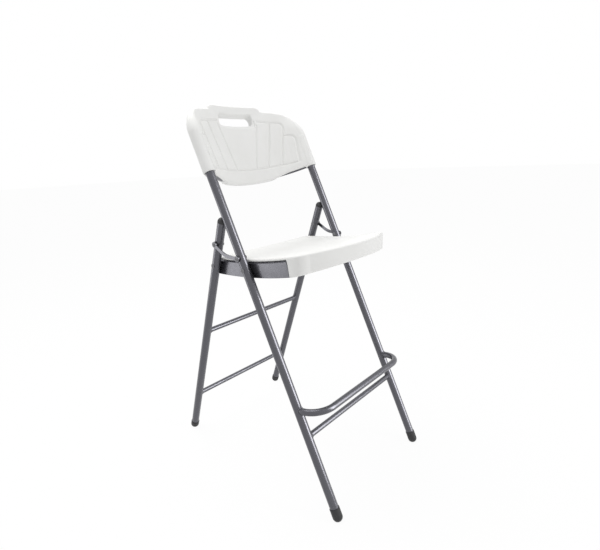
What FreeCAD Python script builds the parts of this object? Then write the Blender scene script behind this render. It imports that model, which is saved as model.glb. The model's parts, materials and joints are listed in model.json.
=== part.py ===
# Folding bar stool: a four-legged steel tube frame, a moulded seat between two pressed side rails,
# and a moulded backrest that slips over the tops of the front tubes.
#
# Frame: +Z up, the stool faces -Y, +X is the sitter's left. The origin is on the floor, midway
# between the outermost points of the front and rear feet.
#
# The stool folds as a four-bar: the seat turns on the front tubes, the rear legs hang on the seat
# rails, and a bent link on the outside of each side ties the rear leg to the front tube.

import FreeCAD, Part
import Sketcher

import math
import os
import re

from FreeCAD import Rotation, Vector

DRIVING_SIZES = [
    # the side view of the frame, angles from the vertical
    ("foot_stance", 667.0),
    ("foot_ball_height", 11.0),
    ("front_lean", 24.7),
    ("rear_lean", 20.0),
    ("seat_pivot_height", 660.0),
    ("rear_pivot_drop", 5.0),
    ("link_pivot_rise", 71.3),
    ("folded_tube_gap", 1.6),
    # steel tube
    ("tube_diameter", 25.4),
    ("tube_wall", 1.2),
    ("tube_axis_x", 214.0),
    ("bar_diameter", 16.0),
    ("bar_wall", 1.2),
    ("front_bar_height", 220.0),
    ("rear_upper_bar_height", 424.0),
    ("rear_lower_bar_height", 160.0),
    # footrest
    ("footrest_diameter", 19.0),
    ("footrest_height", 290.0),
    ("footrest_reach", 76.0),
    ("footrest_corner", 60.0),
    ("footrest_rise", 9.0),
    # feet and the stop caps of the rear legs
    ("foot_wall", 1.5),
    ("foot_plug", 3.0),
    ("front_foot_length", 25.0),
    ("rear_foot_length", 14.0),
    ("cap_skirt", 24.0),
    ("stop_gap", 0.4),
    # pivots
    ("rivet_radius", 4.0),
    ("rivet_head_radius", 7.0),
    ("rivet_crown_radius", 4.2),
    ("flat_head", 1.5),
    ("domed_head", 2.6),
    ("running_clearance", 0.05),
    ("hinge_gap", 1.8),
    ("washer_radius", 9.0),
    ("washer_play", 0.2),
    ("head_play", 0.15),
    # links
    ("link_offset", 2.2),
    ("link_thickness", 3.5),
    ("link_width", 10.0),
    ("link_eye_radius", 8.5),
    ("link_sag", 12.0),
    ("link_bend_radius", 70.0),
    ("open_pivot_gap", 0.3),
    # seat: its side view is a shallow trough, measured from the seat pivot
    ("seat_arc_radius", 1500.0),
    ("seat_low_point_back", 165.0),
    ("seat_low_point_rise", 19.5),
    ("seat_front_reach", 233.0),
    ("seat_front_bow", 42.0),
    ("seat_back_reach", 155.0),
    ("seat_back_bow", 8.0),
    ("seat_corner_radius", 32.0),
    ("seat_slab", 22.0),
    ("seat_lip", 8.0),
    ("seat_edge_radius", 6.0),
    ("seat_skirt", 46.0),
    ("seat_skirt_wall", 6.0),
    ("seat_recess_wall", 7.0),
    ("seat_recess_rib", 12.0),
    ("seat_dish", 6.0),
    ("seat_bar_diameter", 14.0),
    ("seat_bar_gap", 0.3),
    # seat rails
    ("rail_front_reach", 137.0),
    ("rail_height", 45.0),
    ("rail_depth", 18.0),
    ("rail_sheet", 1.8),
    ("rail_bevel", 5.0),
    ("rail_gap", 0.3),
    ("rail_tail", 8.0),
    # backrest: its lower edge is measured along the front tubes, and the rest upwards from there
    ("panel_bottom", 993.0),
    ("panel_thickness", 20.0),
    ("panel_sag_low", 101.0),
    ("panel_sag_high", 55.0),
    ("panel_half_width", 232.0),
    ("panel_side_rise", 128.0),
    ("panel_bulge_x", 214.0),
    ("panel_bulge_rise", 174.0),
    ("panel_shoulder_x", 150.0),
    ("panel_shoulder_rise", 217.0),
    ("panel_step_x", 108.0),
    ("panel_step_rise", 229.0),
    ("panel_step_bend_x", 100.0),
    ("panel_step_bend_rise", 244.0),
    ("panel_crest_x", 84.0),
    ("panel_crest_side_rise", 251.0),
    ("panel_crest_rise", 255.0),
    ("panel_edge_radius", 7.0),
    ("panel_notch_x", 117.0),
    ("panel_notch_rise", 10.0),
    ("back_bar_rise", 14.0),
    ("front_tube_rise", 145.0),
    ("sleeve_radius", 18.5),
    ("sleeve_start_rise", 6.0),
    ("sleeve_end_rise", 157.0),
    ("sleeve_clearance", 0.15),
    ("channel_clearance", 0.3),
    ("hand_slot_width", 120.0),
    ("hand_slot_height", 35.0),
    ("hand_slot_rise", 195.0),
    ("hand_slot_lip_radius", 5.0),
    # the sunk columns on the panel's face, between parallel lines that lean outwards
    ("column_half_width", 41.0),
    ("column_pitch", 47.7),
    ("column_lean", 15.6),
    ("column_foot_rise", 43.0),
    ("column_foot_fall", 12.0),
    ("column_top_rise", 193.0),
    ("outer_column_top_rise", 132.0),
    ("column_corner_radius", 16.0),
    ("column_margin", 3.5),
    ("field_depth", 1.4),
    ("column_depth", 3.0),
]

doc = FreeCAD.newDocument("folding_bar_stool")
sheet = doc.addObject("Spreadsheet::Sheet", "Sizes")
aliases = {}
nodes = {}


def put(alias, value):
    """Write one named size into the sheet."""
    aliases[alias] = float(value)
    row = len(aliases)
    sheet.set("A%d" % row, alias)
    sheet.set("B%d" % row, repr(float(value)))
    sheet.setAlias("B%d" % row, alias)


def size(alias):
    """The value of one named size."""
    return aliases[alias]


def bind(item, target, formula):
    """Tie a property or a constraint of an object to a formula in the sheet's names."""
    full = re.sub(r"[a-z][a-z_]+", lambda word: "Sizes." + word.group(0)
                  if word.group(0) in aliases else word.group(0), formula)
    item.setExpression(target, full)


def node(item, name):
    """Register a finished sub-part under the name of its file."""
    item.Label = name
    nodes[name] = item
    return item


def sketch_on(body, plane_role):
    """Make an empty sketch on one of the body's own origin planes."""
    plane = next(face for face in body.Origin.OriginFeatures if face.Role == plane_role)
    sketch = body.newObject("Sketcher::SketchObject", body.Name + "_sketch")
    sketch.AttachmentSupport = (plane, [""])
    sketch.MapMode = "FlatFace"
    return sketch


def pin_point(sketch, edge, end, across, up):
    """Hold one end of an edge at a place given by two formulas."""
    drawn = sketch.getPoint(edge, end)
    for kind, formula, value in (("DistanceX", across, drawn.x), ("DistanceY", up, drawn.y)):
        index = sketch.addConstraint(Sketcher.Constraint(kind, -1, 1, edge, end, value))
        bind(sketch, "Constraints[%d]" % index, formula)


def polygon(sketch, corners):
    """Draw a closed outline of straight sides through corners given as pairs of formulas."""
    count = len(corners)
    first = sketch.GeometryCount
    turn = 2 * math.pi / count
    ring = [Vector(math.cos(turn * i), math.sin(turn * i), 0) for i in range(count)]
    for i in range(count):
        sketch.addGeometry(Part.LineSegment(ring[i], ring[(i + 1) % count]))
    for i in range(count):
        sketch.addConstraint(Sketcher.Constraint("Coincident", first + i, 2,
                                                 first + (i + 1) % count, 1))
    for i, (across, up) in enumerate(corners):
        pin_point(sketch, first + i, 1, across, up)


def circle(sketch, across, up, radius):
    """Draw a circle whose centre and radius are formulas."""
    edge = sketch.addGeometry(Part.Circle(Vector(0, 0, 0), Vector(0, 0, 1), 1.0))
    pin_point(sketch, edge, 3, across, up)
    index = sketch.addConstraint(Sketcher.Constraint("Radius", edge, 1.0))
    bind(sketch, "Constraints[%d]" % index, radius)


def pad(body, sketch, length, symmetric=False):
    """Raise a sketch into a solid."""
    feature = body.newObject("PartDesign::Pad", body.Name + "_pad")
    feature.Profile = sketch
    feature.SideType = "Symmetric" if symmetric else "One side"
    bind(feature, "Length", length)
    doc.recompute()
    return feature


def pocket_through(body, sketch):
    """Cut a sketch through the whole body, both ways, and make sure that it cuts."""
    before = body.Shape.Volume
    feature = body.newObject("PartDesign::Pocket", body.Name + "_pocket")
    feature.Profile = sketch
    feature.SideType = "Symmetric"
    feature.Type = "ThroughAll"
    doc.recompute()
    assert body.Shape.Volume < before, body.Label + ": a pocket cuts nothing"
    return feature


def turned(name, corners, axis_role="H_Axis", plane_role="XZ_Plane"):
    """Turn a closed outline about an axis of its own sketch: rivets, washers, feet and caps."""
    body = doc.addObject("PartDesign::Body", name)
    sketch = sketch_on(body, plane_role)
    polygon(sketch, corners)
    feature = body.newObject("PartDesign::Revolution", name + "_turn")
    feature.Profile = sketch
    feature.ReferenceAxis = (sketch, [axis_role])
    doc.recompute()
    return body


def edges_where(shape, test):
    """Names of the edges that pass a test."""
    return ["Edge%d" % number for number, edge in enumerate(shape.Edges, 1) if test(edge)]


def runs_across(edge):
    """Whether an edge is straight and lies along the stool's width."""
    return abs(edge.tangentAt(edge.FirstParameter).x) > 0.99


def mirrored(source, name):
    """The other side's copy of a piece, mirrored across the middle of the stool."""
    copy = doc.addObject("Part::Mirroring", name)
    copy.Source = source
    copy.Normal = Vector(1, 0, 0)
    return copy


def group(pieces, name):
    """Join separate solids that share one node, such as the rivets of the two sides."""
    bundle = doc.addObject("Part::Compound", name)
    bundle.Links = pieces
    return node(bundle, name)


def mirrored_group(source, name):
    """A node of two solids: a piece and its mirror image."""
    return group([source, mirrored(source, name + "_other")], name)


def cut(base, tool, name):
    """One object cut by another."""
    result = doc.addObject("Part::Cut", name)
    result.Base = base
    result.Tool = tool
    return result


def fuse(pieces, name):
    """Several objects as one."""
    result = doc.addObject("Part::MultiFuse", name)
    result.Shapes = pieces
    return result


def rod(name, radius, length, placement):
    """A plain cylinder with formulas for its sizes."""
    item = doc.addObject("Part::Cylinder", name)
    bind(item, "Radius", radius)
    bind(item, "Height", length)
    item.Placement = placement
    return item


def place(base, rotation):
    return FreeCAD.Placement(base, rotation)


for alias, value in DRIVING_SIZES:
    put(alias, value)

front_turn = Rotation(Vector(1, 0, 0), -size("front_lean"))
rear_turn = Rotation(Vector(1, 0, 0), size("rear_lean"))
along_front = front_turn.multVec(Vector(0, 0, 1))
behind_front = front_turn.multVec(Vector(0, 1, 0))
along_rear = rear_turn.multVec(Vector(0, 0, 1))
front_foot = Vector(0, -size("foot_stance") / 2, size("foot_ball_height"))
rear_foot = Vector(0, size("foot_stance") / 2, size("foot_ball_height"))


def on_front(height):
    """The point of the front tubes' axis plane at a height above the floor."""
    return front_foot + along_front * ((height - front_foot.z) / along_front.z)


def on_rear(height):
    """The point of the rear legs' axis plane at a height above the floor."""
    return rear_foot + along_rear * ((height - rear_foot.z) / along_rear.z)


def panel_height(rise):
    """A height along the front tubes, given as a named rise above the panel's lower edge."""
    return size("panel_bottom") + size(rise)


# The linkage: pivots of one side in the middle plane. The lower link pivot goes where the link
# brings the rear leg parallel to the front tube, one tube and a gap behind it, when folded.
seat_pivot = on_front(size("seat_pivot_height"))
rear_pivot = on_rear(size("seat_pivot_height") - size("rear_pivot_drop"))
link_top_pivot = rear_pivot + along_rear * size("link_pivot_rise")
folded_spacing = size("tube_diameter") + size("folded_tube_gap")
pivot_spacing = (rear_pivot - seat_pivot).Length
open_along = (link_top_pivot - seat_pivot).dot(along_front)
open_behind = (link_top_pivot - seat_pivot).dot(behind_front)
folded_along = size("link_pivot_rise") - math.sqrt(pivot_spacing ** 2 - folded_spacing ** 2)
link_pivot_above_seat_pivot = (
    (open_along ** 2 + open_behind ** 2 - folded_along ** 2 - folded_spacing ** 2)
    / (2 * (open_along - folded_along)))
link_low_pivot = seat_pivot + along_front * link_pivot_above_seat_pivot
link_chord = link_top_pivot - link_low_pivot

put("front_tube_top", panel_height("front_tube_rise"))
put("front_tube_start", size("foot_plug"))
put("seat_pivot_along", (seat_pivot - front_foot).Length)
put("link_low_along", (link_low_pivot - front_foot).Length)
put("rear_pivot_along", (rear_pivot - rear_foot).Length)
put("link_top_along", (link_top_pivot - rear_foot).Length)
put("link_length", link_chord.Length)

# The rounded top of each rear leg stops against the back of the front tube when the stool stands.
# In the side view the leg's axis reaches that distance from the front tube's axis here.
rear_pivot_behind = (rear_pivot - seat_pivot).dot(behind_front)
stop_travel = (rear_pivot_behind - size("tube_diameter") - size("stop_gap")) / -along_rear.dot(behind_front)
put("stop_along", size("rear_pivot_along") + stop_travel)
put("rear_tube_end", size("stop_along") - size("foot_plug"))


# Legs: straight steel tubes with drilled pivot holes.
def leg_tube(name, side, foot, turn, start, end, holes):
    body = doc.addObject("PartDesign::Body", name)
    section = sketch_on(body, "XY_Plane")
    circle(section, "0", "0", "tube_diameter / 2")
    circle(section, "0", "0", "tube_diameter / 2 - tube_wall")
    bind(section, "AttachmentOffset.Base.z", start)
    pad(body, section, "(%s) - (%s)" % (end, start))
    drill = sketch_on(body, "YZ_Plane")
    for hole in holes:
        circle(drill, "0", hole, "rivet_radius")
    pocket_through(body, drill)
    body.Placement = place(foot + Vector(side * size("tube_axis_x"), 0, 0), turn)
    return node(body, name)


sides = (("left", 1), ("right", -1))
for side_name, side in sides:
    leg_tube("front_leg_tube_" + side_name, side, front_foot, front_turn, "front_tube_start",
             "front_tube_top", ("seat_pivot_along", "link_low_along"))
    leg_tube("rear_leg_tube_" + side_name, side, rear_foot, rear_turn, "front_tube_start",
             "rear_tube_end", ("rear_pivot_along", "link_top_along"))


# Solid rods over the legs, used to cope the ends of everything that is welded to them.
def leg_envelopes(name, foot, turn):
    rods = []
    for side_name, side in sides:
        rods.append(rod(name + "_" + side_name, "tube_diameter / 2", "front_tube_top",
                        place(foot + Vector(side * size("tube_axis_x"), 0, 0), turn)))
    return fuse(rods, name)


front_envelope = leg_envelopes("front_envelope", front_foot, front_turn)
rear_envelope = leg_envelopes("rear_envelope", rear_foot, rear_turn)


def cross_bar(name, centre, diameter, wall, envelope):
    """A straight tube across the stool, with its ends coped to the legs."""
    turn = Rotation(Vector(0, 1, 0), 90)
    start = place(centre - Vector(size("tube_axis_x"), 0, 0), turn)
    outer = rod(name + "_outer", diameter + " / 2", "2 * tube_axis_x", start)
    inner = rod(name + "_inner", "%s / 2 - %s" % (diameter, wall), "2 * tube_axis_x", start)
    tube = cut(outer, inner, name + "_tube")
    return node(cut(tube, envelope, name + "_coped"), name)


cross_bar("front_cross_tube", on_front(size("front_bar_height")), "bar_diameter", "bar_wall",
          front_envelope)
cross_bar("rear_cross_tube_upper", on_rear(size("rear_upper_bar_height")), "bar_diameter",
          "bar_wall", rear_envelope)
cross_bar("rear_cross_tube_lower", on_rear(size("rear_lower_bar_height")), "bar_diameter",
          "bar_wall", rear_envelope)


# Footrest: one tube bent into a U, rising a little towards the front.
def footrest():
    body = doc.addObject("PartDesign::Body", "footrest")
    half, reach, bend = size("tube_axis_x"), size("footrest_reach"), size("footrest_corner")
    path = sketch_on(body, "XY_Plane")
    straight = half - bend
    up = Vector(0, 0, 1)
    right_bend = Part.Circle(Vector(-straight, bend - reach, 0), up, bend)
    left_bend = Part.Circle(Vector(straight, bend - reach, 0), up, bend)
    path.addGeometry(Part.LineSegment(Vector(-half, 0, 0), Vector(-half, bend - reach, 0)))
    path.addGeometry(Part.ArcOfCircle(right_bend, math.pi, 1.5 * math.pi))
    path.addGeometry(Part.LineSegment(Vector(-straight, -reach, 0), Vector(straight, -reach, 0)))
    path.addGeometry(Part.ArcOfCircle(left_bend, 1.5 * math.pi, 2 * math.pi))
    path.addGeometry(Part.LineSegment(Vector(half, bend - reach, 0), Vector(half, 0, 0)))
    for edge in range(4):
        path.addConstraint(Sketcher.Constraint("Coincident", edge, 2, edge + 1, 1))
    pin_point(path, 0, 1, "-tube_axis_x", "0")
    pin_point(path, 0, 2, "-tube_axis_x", "footrest_corner - footrest_reach")
    pin_point(path, 2, 1, "footrest_corner - tube_axis_x", "-footrest_reach")
    pin_point(path, 2, 2, "tube_axis_x - footrest_corner", "-footrest_reach")
    pin_point(path, 4, 1, "tube_axis_x", "footrest_corner - footrest_reach")
    pin_point(path, 4, 2, "tube_axis_x", "0")
    for bent in (1, 3):
        index = path.addConstraint(Sketcher.Constraint("Radius", bent, bend))
        bind(path, "Constraints[%d]" % index, "footrest_corner")
    section = sketch_on(body, "XZ_Plane")
    circle(section, "-tube_axis_x", "0", "footrest_diameter / 2")
    circle(section, "-tube_axis_x", "0", "footrest_diameter / 2 - bar_wall")
    doc.recompute()
    pipe = body.newObject("PartDesign::AdditivePipe", "footrest_pipe")
    pipe.Profile = section
    pipe.Spine = path
    body.Placement = place(on_front(size("footrest_height")),
                           Rotation(Vector(1, 0, 0), -size("footrest_rise")))
    doc.recompute()
    return node(cut(body, front_envelope, "footrest_coped"), "footrest_bar")


footrest()


# Backrest tube: an arc of tube that joins the front tubes inside the panel's lower edge. The panel's
# middle surface passes through both tube axes, and lies further back at its lower edge.
def panel_sag(along):
    """How far the middle of the panel lies behind the tubes, at a height along them."""
    up = (along - size("panel_bottom")) / size("panel_crest_rise")
    return size("panel_sag_low") + (size("panel_sag_high") - size("panel_sag_low")) * up


def ring_radius(sag):
    """Radius of the arc that passes through both tube axes with this sag between them."""
    return (size("tube_axis_x") ** 2 + sag ** 2) / (2 * sag)


bar_along = panel_height("back_bar_rise")
bar_sag = panel_sag(bar_along)
put("bar_ring_radius", ring_radius(bar_sag))
put("bar_ring_sweep", 2 * math.degrees(math.asin(size("tube_axis_x") / size("bar_ring_radius"))))


def back_bar():
    behind = bar_sag - size("bar_ring_radius")
    centre = front_foot + along_front * bar_along + behind_front * behind
    turn = front_turn.multiply(Rotation(Vector(0, 0, 1), 90 - size("bar_ring_sweep") / 2))
    tubes = []
    for part_name, radius in (("outer", "bar_diameter / 2"), ("inner", "bar_diameter / 2 - bar_wall")):
        item = doc.addObject("Part::Torus", "back_bar_" + part_name)
        bind(item, "Radius1", "bar_ring_radius")
        bind(item, "Radius2", radius)
        bind(item, "Angle3", "bar_ring_sweep")
        item.Placement = place(centre, turn)
        tubes.append(item)
    hollow = cut(tubes[0], tubes[1], "back_bar_tube")
    return node(cut(hollow, front_envelope, "back_bar_coped"), "back_cross_tube")


back_bar()


# Feet: moulded caps with a ball end, worn flat where they meet the floor.
def foot(name, side, centre, turn, length):
    outer = "(tube_diameter / 2 + foot_wall)"
    body = doc.addObject("PartDesign::Body", name + "_cap")
    sketch = sketch_on(body, "XZ_Plane")
    polygon(sketch, [("0", "0"), (outer, "0"), (outer, length), ("tube_diameter / 2", length),
                     ("tube_diameter / 2", "foot_plug"), ("0", "foot_plug")])
    feature = body.newObject("PartDesign::Revolution", name + "_turn")
    feature.Profile = sketch
    feature.ReferenceAxis = (sketch, ["V_Axis"])
    doc.recompute()
    at = centre + Vector(side * size("tube_axis_x"), 0, 0)
    body.Placement = place(at, turn)
    ball = doc.addObject("Part::Sphere", name + "_ball")
    bind(ball, "Radius", outer)
    ball.Placement = place(at, turn)
    ball.Angle2 = 0
    whole = fuse([body, ball], name + "_whole")
    floor = doc.addObject("Part::Box", name + "_floor")
    for measure in ("Length", "Width", "Height"):
        bind(floor, measure, "4 * tube_diameter")
    reach = 2 * size("tube_diameter")
    floor.Placement = place(Vector(at.x - reach, at.y - reach, -2 * reach), Rotation())
    return node(cut(whole, floor, name + "_cut"), name)


for side_name, side in sides:
    foot("front_foot_" + side_name, side, front_foot, front_turn, "front_foot_length")
    foot("rear_foot_" + side_name, side, rear_foot, rear_turn, "rear_foot_length")


# Caps on the rear legs' tops: a plug, a skirt and a rounded end that rests on the front tube.
def top_cap(name, side):
    outer = "tube_diameter / 2"
    body = doc.addObject("PartDesign::Body", name + "_plug")
    sketch = sketch_on(body, "XZ_Plane")
    polygon(sketch, [("0", "0"), (outer, "0"), (outer, "-foot_plug"),
                     ("tube_diameter / 2 - tube_wall", "-foot_plug"),
                     ("tube_diameter / 2 - tube_wall", "-cap_skirt"), ("0", "-cap_skirt")])
    feature = body.newObject("PartDesign::Revolution", name + "_turn")
    feature.Profile = sketch
    feature.ReferenceAxis = (sketch, ["V_Axis"])
    at = rear_foot + along_rear * size("stop_along") + Vector(side * size("tube_axis_x"), 0, 0)
    body.Placement = place(at, rear_turn)
    ball = doc.addObject("Part::Sphere", name + "_ball")
    bind(ball, "Radius", outer)
    ball.Placement = place(at, rear_turn)
    ball.Angle1 = 0
    return node(fuse([body, ball], name + "_whole"), name)


for side_name, side in sides:
    top_cap("rear_top_cap_" + side_name, side)


# Pivots. Along the stool's width, from the middle outwards: rail, washer, tube, spacer, link.
put("tube_inner_x", size("tube_axis_x") - size("tube_diameter") / 2)
put("tube_outer_x", size("tube_axis_x") + size("tube_diameter") / 2)
put("rail_outer_x", size("tube_inner_x") - size("hinge_gap"))
put("rail_web_x", size("rail_outer_x") - size("rail_sheet"))
put("link_inner_x", size("tube_outer_x") + size("link_offset"))
put("link_outer_x", size("link_inner_x") + size("link_thickness"))


def rivet(name, centre, inner_face, inner_head, outer_face, outer_head):
    """A rivet along X with a head past each face; a head of no thickness leaves a plain end."""
    shank = "(rivet_radius - running_clearance)"
    corners = [(inner_face + inner_head, "0"), (inner_face + inner_head, "rivet_crown_radius"),
               (inner_face, "rivet_head_radius"), (inner_face, shank), (outer_face, shank),
               (outer_face, "rivet_head_radius"), (outer_face + outer_head, "rivet_crown_radius"),
               (outer_face + outer_head, "0")]
    body = turned(name + "_one", corners)
    body.Placement = place(centre, Rotation())
    return mirrored_group(body, name)


rivet("seat_pivot_rivets", seat_pivot, "rail_web_x - head_play", " - domed_head", "tube_outer_x",
      " + flat_head")
rivet("rear_pivot_rivets", rear_pivot, "rail_web_x - head_play", " - domed_head", "tube_outer_x",
      " + flat_head")
rivet("link_low_rivets", link_low_pivot, "tube_inner_x", " - flat_head", "link_outer_x + head_play",
      " + domed_head")


def ring(name, centre, inner_face, outer_face):
    """A plain ring about an X axis, on each side of the stool."""
    body = turned(name + "_one", [(inner_face, "rivet_radius"), (outer_face, "rivet_radius"),
                                  (outer_face, "washer_radius"), (inner_face, "washer_radius")])
    body.Placement = place(centre, Rotation())
    return mirrored_group(body, name)


ring("seat_pivot_washers", seat_pivot, "rail_outer_x + washer_play", "tube_inner_x")
ring("rear_pivot_washers", rear_pivot, "rail_outer_x + washer_play", "tube_inner_x")
ring("link_low_spacers", link_low_pivot, "tube_outer_x", "link_inner_x - washer_play")
ring("link_top_spacers", link_top_pivot, "tube_outer_x + open_pivot_gap", "link_inner_x")


# The upper link pivot is where the closed four-bar is opened: the outer rivet stays with the link
# and stops just short of the leg, and a blind rivet fills the leg's own hole.
def open_pivot():
    shank = "(rivet_radius - running_clearance)"
    outer = turned("link_top_rivet_one", [
        ("tube_outer_x + open_pivot_gap", "0"), ("tube_outer_x + open_pivot_gap", shank),
        ("link_outer_x", shank), ("link_outer_x", "rivet_head_radius"),
        ("link_outer_x + domed_head", "rivet_crown_radius"), ("link_outer_x + domed_head", "0")])
    outer.Placement = place(link_top_pivot, Rotation())
    mirrored_group(outer, "link_top_rivets")
    inner = turned("leg_rivet_one", [
        ("tube_inner_x - flat_head", "0"), ("tube_inner_x - flat_head", "rivet_crown_radius"),
        ("tube_inner_x", "rivet_head_radius"), ("tube_inner_x", shank), ("tube_outer_x", shank),
        ("tube_outer_x", "0")])
    inner.Placement = place(link_top_pivot, Rotation())
    mirrored_group(inner, "leg_rivets")


open_pivot()


# Links: flat bars with a gentle bend and a round eye at each end.
def link(name, side):
    body = doc.addObject("PartDesign::Body", name)
    band = sketch_on(body, "YZ_Plane")
    half = "link_width / 2"
    low, top, bend = "-link_sag - " + half, "-link_sag + " + half, "link_length / 2"
    polygon(band, [("0", "-" + half), (bend, low), ("link_length", "-" + half),
                   ("link_length", half), (bend, top), ("0", half)])
    bar = pad(body, band, "link_thickness")
    middle = size("link_length") / 2
    bends = edges_where(bar.Shape, lambda edge: runs_across(edge)
                        and abs(edge.CenterOfMass.y - middle) < 1)
    bow = body.newObject("PartDesign::Fillet", name + "_bow")
    bow.Base = (bar, bends)
    bind(bow, "Radius", "link_bend_radius")
    doc.recompute()
    eyes = sketch_on(body, "YZ_Plane")
    circle(eyes, "0", "0", "link_eye_radius")
    circle(eyes, "link_length", "0", "link_eye_radius")
    pad(body, eyes, "link_thickness")
    holes = sketch_on(body, "YZ_Plane")
    circle(holes, "0", "0", "rivet_radius")
    circle(holes, "link_length", "0", "rivet_radius")
    pocket_through(body, holes)
    rise = math.degrees(math.atan2(link_chord.z, link_chord.y))
    x = size("link_inner_x") if side > 0 else -size("link_outer_x")
    body.Placement = place(link_low_pivot + Vector(x, 0, 0), Rotation(Vector(1, 0, 0), rise))
    return node(body, name)


for side_name, side in sides:
    link("link_" + side_name, side)


# Seat. Its top, the rails and the bars under it are all swept along one long arc about an axis
# across the stool, high above the seat. Depths are measured down from that arc.
seat_axis = Vector(0, seat_pivot.y + size("seat_low_point_back"),
                   size("seat_pivot_height") + size("seat_low_point_rise") + size("seat_arc_radius"))


def seat_turn(y, depth=0.0):
    """Angle about the seat's axis at a place along the stool, from straight down, in degrees."""
    return math.degrees(math.asin((y - seat_axis.y) / (size("seat_arc_radius") + depth)))


def on_seat(y, depth):
    """The point in the middle plane at a depth under the seat's top arc."""
    turn = math.radians(seat_turn(y, depth))
    radius = size("seat_arc_radius") + depth
    return seat_axis + Vector(0, radius * math.sin(turn), -radius * math.cos(turn))


rail_front = seat_pivot.y - size("rail_front_reach")
rail_back = rear_pivot.y + size("rail_tail")
seat_front = seat_pivot.y - size("seat_front_reach")
seat_back = seat_pivot.y + size("seat_back_reach")
rail_top_depth = size("seat_lip") + size("rail_gap")
put("rail_top_radius", size("seat_arc_radius") + rail_top_depth)
put("rail_bottom_radius", size("rail_top_radius") + size("rail_height"))
put("rail_sweep", seat_turn(rail_back + size("rail_height")) - seat_turn(rail_front))


def rail_blank(name):
    """A pressed steel channel, open to the middle, with a bevel along its upper outer corner."""
    body = doc.addObject("PartDesign::Body", name)
    sketch = sketch_on(body, "XZ_Plane")
    tip, web = "rail_outer_x - rail_depth", "rail_outer_x - rail_sheet"
    bend = "rail_sheet * (sqrt(2) - 1)"
    polygon(sketch, [
        (tip, "-rail_top_radius"), ("rail_outer_x - rail_bevel", "-rail_top_radius"),
        ("rail_outer_x", "-rail_top_radius - rail_bevel"), ("rail_outer_x", "-rail_bottom_radius"),
        (tip, "-rail_bottom_radius"), (tip, "rail_sheet - rail_bottom_radius"),
        (web, "rail_sheet - rail_bottom_radius"),
        (web, "-rail_top_radius - rail_bevel - " + bend),
        ("rail_outer_x - rail_bevel - " + bend, "-rail_top_radius - rail_sheet"),
        (tip, "-rail_top_radius - rail_sheet")])
    feature = body.newObject("PartDesign::Revolution", name + "_sweep")
    feature.Profile = sketch
    feature.ReferenceAxis = (sketch, ["H_Axis"])
    feature.Midplane = True
    bind(feature, "Angle", "rail_sweep")
    middle = (seat_turn(rail_front) + seat_turn(rail_back + size("rail_height"))) / 2
    body.Placement = place(seat_axis, Rotation(Vector(1, 0, 0), middle))
    doc.recompute()
    return body


def across(point):
    """Placement of a cylinder that runs along the stool's width from a point in its middle plane."""
    return place(Vector(0, point.y, point.z), Rotation(Vector(0, 1, 0), 90))


def rails():
    """Left rail with a full round tail and its pivot holes, and its mirror image."""
    tail_centre = on_seat(rail_back, rail_top_depth + size("rail_height") / 2)
    beyond = doc.addObject("Part::Box", "rail_beyond")
    for measure in ("Length", "Width", "Height"):
        bind(beyond, measure, "4 * rail_height")
    beyond.Placement = place(Vector(size("rail_outer_x") - 2 * size("rail_height"), tail_centre.y,
                                    tail_centre.z - 2 * size("rail_height")), Rotation())
    round_end = rod("rail_round_end", "rail_height / 2", "2 * rail_outer_x", across(tail_centre))
    trimmed = cut(rail_blank("rail_channel"), cut(beyond, round_end, "rail_trim"), "rail_trimmed")
    holes = fuse([rod("rail_hole_front", "rivet_radius", "2 * rail_outer_x", across(seat_pivot)),
                  rod("rail_hole_rear", "rivet_radius", "2 * rail_outer_x", across(rear_pivot))],
                 "rail_holes")
    left = node(cut(trimmed, holes, "rail_drilled"), "seat_rail_left")
    node(mirrored(left, "rail_other"), "seat_rail_right")


rails()


def seat_bar(name, y):
    """A tube between the rails, just under the moulding."""
    depth = size("seat_slab") + size("seat_bar_gap") + size("seat_bar_diameter") / 2
    start = across(on_seat(y, depth))
    start.Base.x = -size("rail_web_x")
    outer = rod(name + "_outer", "seat_bar_diameter / 2", "2 * rail_web_x", start)
    inner = rod(name + "_inner", "seat_bar_diameter / 2 - bar_wall", "2 * rail_web_x", start)
    return node(cut(outer, inner, name + "_tube"), name)


seat_bar_front_y = rail_front + size("seat_bar_diameter")
seat_bar_rear_y = seat_pivot.y + 3 * size("seat_bar_diameter")
seat_bar("seat_cross_tube_front", seat_bar_front_y)
seat_bar("seat_cross_tube_rear", seat_bar_rear_y)


def arc(start, middle, end):
    return Part.Arc(start, middle, end).toShape()


def line(start, end):
    return Part.LineSegment(start, end).toShape()


def mirror_x(point):
    return Vector(-point.x, point.y, point.z)


def wire_of(edges):
    return Part.Wire(Part.__sortEdges__(edges))


def seat_sweep(section, start_y, end_y):
    """Turn a section, given as wire edges in across and depth, along the seat's long arc."""
    face = Part.Face(wire_of(section))
    start, end = seat_turn(start_y), seat_turn(end_y)
    face.rotate(seat_axis, Vector(1, 0, 0), start)
    return face.revolve(seat_axis, Vector(1, 0, 0), end - start)


def in_section(x, depth):
    """A point of a seat section, drawn straight below the seat's axis."""
    return seat_axis + Vector(x, 0, -size("seat_arc_radius") - depth)


def section_rectangle(left, right, top, bottom):
    """Edges of a rectangle in a seat section, from two places across and two depths."""
    corners = [in_section(x, depth) for x, depth in
               ((left, top), (right, top), (right, bottom), (left, bottom))]
    return [line(corners[i - 1], corners[i]) for i in range(4)]


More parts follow.
